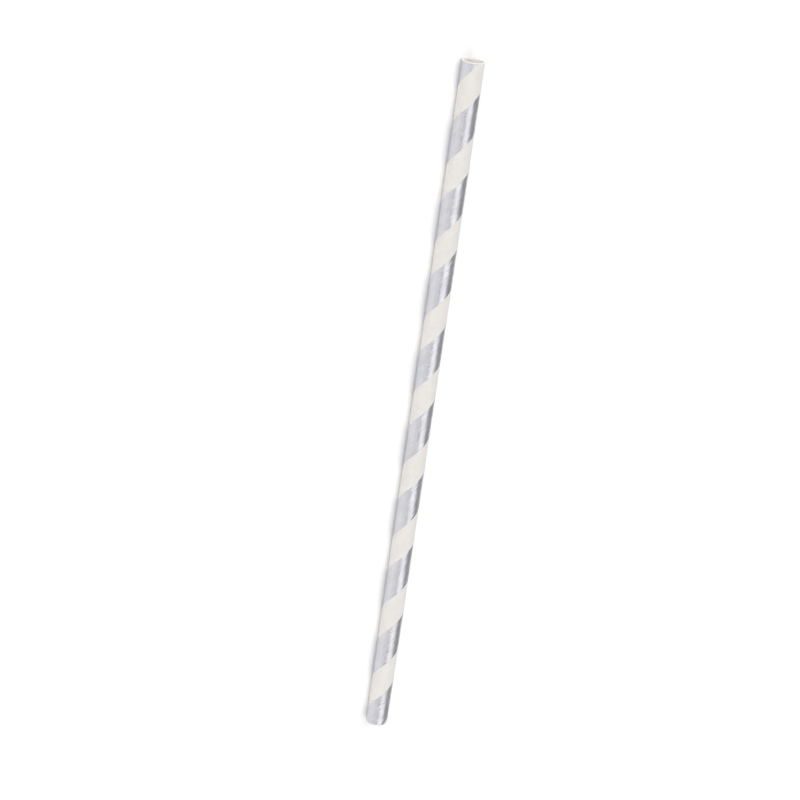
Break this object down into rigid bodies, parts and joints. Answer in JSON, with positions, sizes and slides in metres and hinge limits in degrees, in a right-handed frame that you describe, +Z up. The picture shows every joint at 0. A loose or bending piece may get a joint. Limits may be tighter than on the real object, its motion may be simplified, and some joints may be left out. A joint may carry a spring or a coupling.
{
  "type": "paper drinking straw",
  "caption": "Straight spirally wound paper drinking straw with a broad right-handed silver foil stripe, open at both square-cut ends, lying on its side.",
  "frame": {"origin": "on the floor, under the middle of the straw as it lies", "axes": "+X along the straw, towards the mouth; +Z up; the straw lies on its side"},
  "size_m": [0.197, 0.0062, 0.0062],
  "materials": {
    "paper": "matte",
    "foil": "satin"
  },
  "bodies": {
    "root": {"paper_tube": "paper", "foil_stripe": "foil"}
  },
  "joints": []
}
